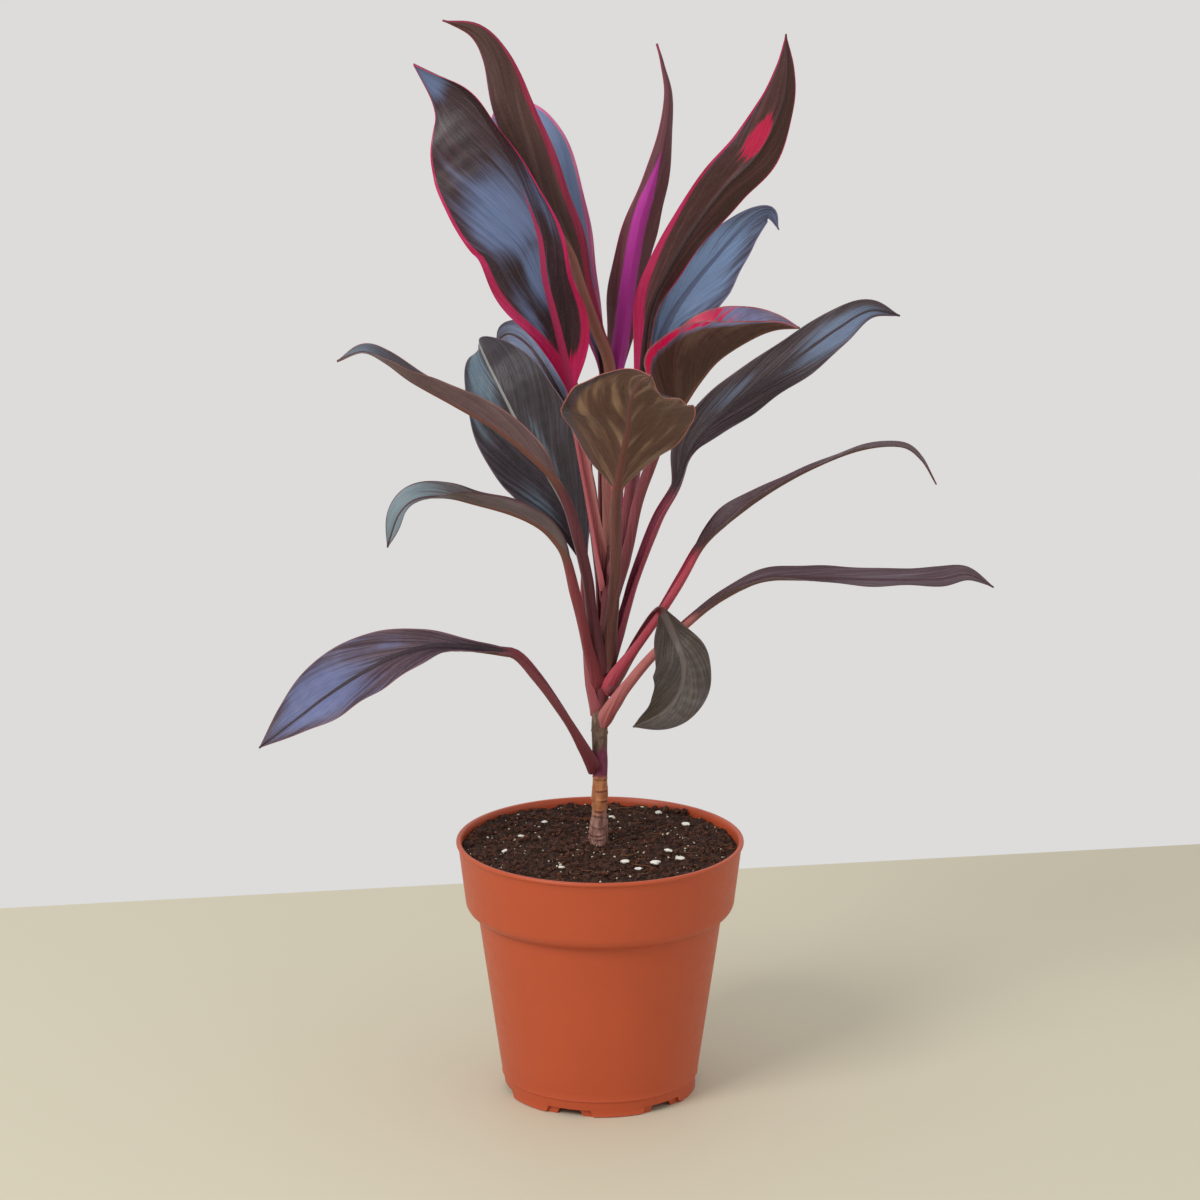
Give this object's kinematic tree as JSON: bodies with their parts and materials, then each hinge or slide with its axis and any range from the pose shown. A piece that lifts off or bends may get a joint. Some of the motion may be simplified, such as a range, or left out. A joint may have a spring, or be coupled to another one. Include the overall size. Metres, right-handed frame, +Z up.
{
  "type": "potted cordyline plant",
  "caption": "Young cordyline with long petioled leaves, dark with crimson margins, on a short stem in a round plastic nursery pot of soil.",
  "frame": {"origin": "Centre of the boss under the pot, on the pot's axis, at the surface that the pot stands on.", "axes": "+Z is up along the pot's axis, +X is to the plant's right seen from the front, and +Y is to the back, so the front is towards -Y."},
  "size_m": [0.3815, 0.2464, 0.5681],
  "materials": {
    "pot": "semi-matte moulded",
    "soil": "loose moist peat",
    "perlite": "porous grains",
    "roots": "matte",
    "stem": "ringed bark",
    "leaf_maroon": "waxy",
    "leaf_blue": "waxy with a blue sheen",
    "leaf_brown": "satin underside",
    "leaf_crimson": "waxy with crimson margins"
  },
  "bodies": {
    "root": {"pot": "pot", "soil": "soil", "roots": "roots", "stem": "stem", "perlite_01": "perlite", "perlite_02": "perlite", "perlite_03": "perlite", "perlite_04": "perlite", "perlite_05": "perlite", "perlite_06": "perlite", "perlite_07": "perlite", "perlite_08": "perlite", "perlite_09": "perlite", "perlite_10": "perlite", "perlite_11": "perlite", "perlite_12": "perlite", "leaf_low_left": "leaf_blue", "leaf_low_right": "leaf_brown", "leaf_small_drooping": "leaf_brown", "leaf_arched_left": "leaf_brown", "leaf_thin_right": "leaf_brown", "leaf_strap_left": "leaf_brown", "leaf_long_right": "leaf_blue", "leaf_broad_left": "leaf_blue", "leaf_back_left": "leaf_blue", "leaf_front": "leaf_brown", "leaf_back_right": "leaf_blue", "leaf_curled_right": "leaf_brown", "leaf_back_upright": "leaf_blue", "leaf_big_left": "leaf_crimson", "leaf_big_right": "leaf_maroon", "leaf_tall_left": "leaf_maroon", "leaf_narrow_upright": "leaf_crimson"}
  },
  "joints": []
}
